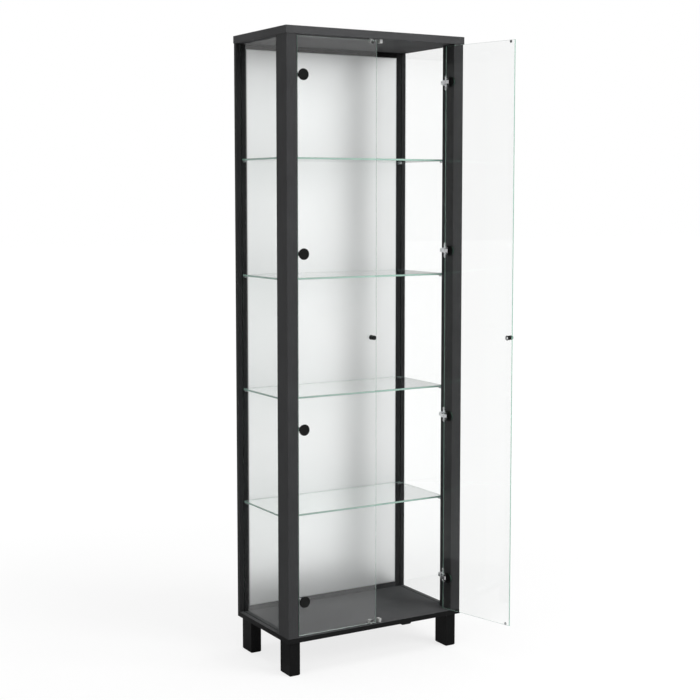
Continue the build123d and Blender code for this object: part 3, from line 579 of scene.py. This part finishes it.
# Materials of the object
chrome = plated("hinge_plating", (0.74, 0.74, 0.76), 0.2, 700.0, (1.0, 1.0, 0.15))
bright = plated("screw_plating", (0.8, 0.8, 0.81), 0.16, 900.0)
zinc = plated("zinc_plating", (0.5, 0.51, 0.52), 0.34, 500.0)
black_plastic = moulded("hinge_black", (0.003, 0.003, 0.003), 0.42, specular=0.12)
disc_plastic = moulded("disc_black", (0.014, 0.014, 0.015), 0.5)
knob_paint = moulded("knob_black", (0.004, 0.004, 0.004), 0.34, 2200.0, 0.00002, 0.2)
grey_plastic = moulded("catch_grey", (0.36, 0.36, 0.35), 0.45)
pad_rubber = moulded("pad_rubber", (0.02, 0.02, 0.02), 0.8, 900.0, 0.0001, 0.3)
washer_rubber = moulded("washer_rubber", (0.012, 0.012, 0.012), 0.6)
side_pane = clear_glass("side_pane", X, CLEAR, GREEN)
shelf_pane = clear_glass("shelf_pane", Z, SHELF_CLEAR, SHELF_GREEN)
wood = beech()
pegs = clear_plastic()

dress = {
    "mirror": silvered(),
    "back_board": hardboard(),
    "foot_pads": pad_rubber,
    "foot_dowels": wood,
    "post_dowels": wood,
    "catch_magnets": zinc,
    "door_catches_top": grey_plastic,
    "door_catches_bottom": grey_plastic,
    "top_panel_screws": zinc,
    "bottom_panel_screws": zinc,
    "left_hinge_pins": bright,
    "right_hinge_pins": bright,
    "left_door_glass": clear_glass("left_door_pane", Y, CLEAR, GREEN),
    "right_door_glass": clear_glass("right_door_pane", OPEN_TURN @ Y, CLEAR, GREEN),
    "left_side_glass": side_pane,
    "right_side_glass": side_pane,
}
for number in range(1, 5):
    dress[f"shelf_{number}"] = shelf_pane
    dress[f"shelf_pegs_{number}"] = pegs
for name in BOARDS:
    low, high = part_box(name)
    dress[name] = black_board(name, 0 if name in ALONG_X else 2, low, high)
for name, material in dress.items():
    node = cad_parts[name]
    node.data.materials.clear()
    node.data.materials.append(material)
for name in ("door_catches_top", "door_catches_bottom", *BOARDS):
    round_edges(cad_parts[name], BOARD_ROUND, BOARD_ROUND_ABOVE)

# Screws: the head's radius and height, the shank's radius and length, the recess
plate_screw = cross_head("plate_screw", 4.2, 2.2, 1.7, 14.2, 2.3, 0.55, 1.7)
board_screw = cross_head("board_screw", 2.8, 1.5, 1.2, 6.5, 1.6, 0.4, 1.1)
knob_screw = cross_head("knob_screw", 4.5, 3.5, 2.0, 15.5, 2.6, 0.6, 2.0)
arm_screw = cross_head("arm_screw", 2.8, 0.8, 2.8, 5.9, 1.9, 0.5, 0.7)

for side in SIDES:
    door = f"{side}_door"

    # Round caps outside: a low dome with a soft shoulder
    bm = bmesh.new()
    for height in HINGE_HEIGHTS:
        lathe(bm, CAP_PROFILE, Vector((CUP_X, GLASS_FRONT, height)), -Y, CUP_STEPS)
    add_piece(f"hinge_caps_{side}", bm, black_plastic, door,
              [f"{side}_hinge_caps"], side, True)

    # Cups: a can through the glass with a rounded flange, a floor and two lugs at the pin
    bm = bmesh.new()
    outline = [(-LUG_HALF, LUG_ROOT), (LUG_HALF, LUG_ROOT)]
    outline += arc((0.0, LUG_MIDDLE), LUG_HALF, 0, 180, 10)
    moved = [(a + PIN.x, b + GLASS_FRONT) for a, b in outline]
    for height in HINGE_HEIGHTS:
        lathe(bm, CUP_PROFILE, Vector((CUP_X, GLASS_FRONT, height)), Y, CUP_STEPS)
        for start in LUG_STARTS:
            prism(bm, moved, height + start, height + start + LUG_THICK, (X, Y, Z))
    add_piece(f"hinge_cups_{side}", bm, black_plastic, door,
              [f"{side}_hinge_cups"], side, True, CUP_ROUND)

    # Mounting plates: a strip with two rounded wings
    bm = bmesh.new()
    outline = arc((WING_DEPTH, WING_HEIGHT), WING_RADIUS, 0, 180, 14)
    outline += PLATE_REAR
    outline += arc((WING_DEPTH, -WING_HEIGHT), WING_RADIUS, 180, 360, 14)
    outline += PLATE_FRONT
    for height in HINGE_HEIGHTS:
        moved = [(FRONT + a, height + b) for a, b in outline]
        prism(bm, moved, POST_FACE, POST_FACE + PLATE_THICK, (Y, Z, X))
    add_piece(f"hinge_plates_{side}", bm, chrome, "carcass",
              [f"{side}_hinge_plates"], side, False, PLATE_ROUND)

    # Arms: a bowed strap from the barrel round the pin to a box on the plate
    bm = bmesh.new()
    outline = arc(BARREL, BARREL_RADIUS, *BARREL_ARC, 12)
    outline += ARM_BOW
    moved = [(POST_FACE + a, FRONT + b) for a, b in outline]
    for height in HINGE_HEIGHTS:
        prism(bm, moved, height - ARM_HALF, height + ARM_HALF, (X, Y, Z))
    add_piece(f"hinge_arms_{side}", bm, chrome, "carcass",
              [f"{side}_hinge_arms"], side, False, ARM_ROUND)

    # Screws of the plates and the arms, with their recesses turned differently
    bm = bmesh.new()
    for number, height in enumerate(HINGE_HEIGHTS):
        for way in (-1, 1):
            point = Vector(
                (POST_FACE + PLATE_THICK, FRONT + WING_DEPTH, height + way * PLATE_SCREW_HEIGHT)
            )
            add_screw(bm, plate_screw, point, X, 27.0 * number + 40.0 * way)
    add_piece(f"hinge_plate_screws_{side}", bm, bright, "carcass",
              [f"{side}_hinge_plate_screws"], side)

    bm = bmesh.new()
    for number, height in enumerate(HINGE_HEIGHTS):
        for order, depth in enumerate(ARM_SCREW_DEPTHS):
            point = Vector((POST_FACE + ARM_FACE, FRONT + depth, height))
            add_screw(bm, arm_screw, point, X, 31.0 * number + 50.0 * order)
    add_piece(f"hinge_arm_screws_{side}", bm, bright, "carcass",
              [f"{side}_hinge_arm_screws"], side)

    # Knob, washer and screw
    bm = bmesh.new()
    lathe(bm, KNOB_PROFILE, Vector((KNOB_X, GLASS_FRONT, KNOB_Z)), -Y, KNOB_STEPS)
    add_piece(f"door_knob_{side}", bm, knob_paint, door, [f"{side}_knob"], side, True)

    behind = Vector((KNOB_X, GLASS_BACK, KNOB_Z))
    bm = bmesh.new()
    lathe(bm, WASHER_PROFILE, behind, Y, WASHER_STEPS)
    add_piece(f"door_knob_washer_{side}", bm, washer_rubber, door,
              [f"{side}_knob_washer"], side, True)

    bm = bmesh.new()
    add_screw(bm, knob_screw, behind + Y * WASHER_THICK, Y, 20.0)
    add_piece(f"door_knob_screw_{side}", bm, bright, door,
              [f"{side}_knob_screw"], side, True)

    # Strike discs that the catches hold
    bm = bmesh.new()
    for x, z in STRIKES:
        lathe(bm, STRIKE_PROFILE, Vector((x, GLASS_BACK, z)), Y, SMALL_STEPS)
    add_piece(f"strike_discs_{side}", bm, zinc, door,
              [f"{side}_door_strikes"], side, True)

bm = bmesh.new()
for row in range(BOARD_SCREW_ROWS):
    z = RAIL_LOW + (RAIL_HIGH - RAIL_LOW) / BOARD_SCREW_ROWS * (row + 0.5)
    for way in (-1, 1):
        point = Vector((way * BOARD_SCREW_X, BOARD_BACK, z))
        add_screw(bm, board_screw, point, Y, 35.0 * row + 10.0 * way)
add_piece("back_screws", bm, zinc, "carcass", ["back_board_screws"])

bm = bmesh.new()
for x, y in DISC_PLACES:
    for way in (-1, 1):
        lathe(bm, DISC_PROFILE, Vector((way * x, y, TOP)), Z, SMALL_STEPS)
add_piece("top_discs", bm, disc_plastic, "carcass", ["screw_cover_discs"])


# Floor, light and camera

def floor_material():
    """A pale floor that looks white where it is lit, keeps the shadow, and fades to white."""
    paint = Paint("studio_floor", Roughness=0.7, Specular_IOR_Level=0.2)
    cloud = paint.noise(1.5, 3.0, 0.5)
    paint.feed("Base Color", paint.blend(cloud, (0.86, 0.86, 0.86), (0.9, 0.9, 0.9)))
    path = paint.node("ShaderNodeLightPath").outputs
    away = paint.vector("LENGTH", paint.place)["Value"]
    direction = paint.vector("NORMALIZE", paint.place)[0]
    white = paint.span(
        paint.reflected(path), 0.0, 1.0, FLOOR_WHITE, paint.studio(direction)
    )
    lift = paint.node("ShaderNodeEmission", {"Color": WHITE, "Strength": white}).outputs[0]
    share = paint.span(away, *FLOOR_FADE, FLOOR_LIFT, 1.0)
    paint.mix_with(paint.math("MULTIPLY", paint.undiffused(path), share), lift)
    return paint.material


bm = bmesh.new()
bmesh.ops.create_grid(bm, x_segments=8, y_segments=8, size=FLOOR_HALF)
floor = shown("studio_floor", bm)
floor.data.materials.append(floor_material())

world = bpy.data.worlds.new("studio")
bpy.context.scene.world = world
sky = Nodes(world)
path = sky.node("ShaderNodeLightPath").outputs
direction = sky.node("ShaderNodeTexCoord").outputs["Generated"]
backdrop = sky.span(sky.reflected(path), 0.0, 1.0, 1.0, sky.studio(direction))
strength = sky.span(sky.undiffused(path), 0.0, 1.0, DIFFUSE_LIGHT, backdrop)
glow = sky.node("ShaderNodeBackground", {"Color": WHITE, "Strength": strength}).outputs[0]
sky.node("ShaderNodeOutputWorld", {"Surface": glow})

# Large soft lamps, each turned to a target and not seen in reflections
for name, place, target, size, watts in LAMPS:
    lamp = bpy.data.lights.new(name, "AREA")
    lamp.shape = "RECTANGLE"
    lamp.size, lamp.size_y = size
    lamp.energy = watts
    holder = bpy.data.objects.new(name, lamp)
    bpy.context.scene.collection.objects.link(holder)
    holder.location = place
    holder.visible_glossy = False
    holder.visible_transmission = False
    aim = Vector(target) - Vector(place)
    holder.rotation_euler = aim.to_track_quat("-Z", "Y").to_euler()

# The photo's camera, with part of its vertical shift exchanged for a slight tilt
camera_data = bpy.data.cameras.new("photo_camera")
camera_data.sensor_width = 36.0
camera_data.lens = 72.074
camera_data.shift_y = -0.044
camera = bpy.data.objects.new("photo_camera", camera_data)
bpy.context.scene.collection.objects.link(camera)
camera.location = (-1.98995, -3.21857, 1.26625)
camera.rotation_euler = (math.radians(85.0), 0.0, -0.53704)
bpy.context.scene.camera = camera

bpy.context.scene.view_settings.view_transform = "Standard"

bpy.context.view_layer.update()
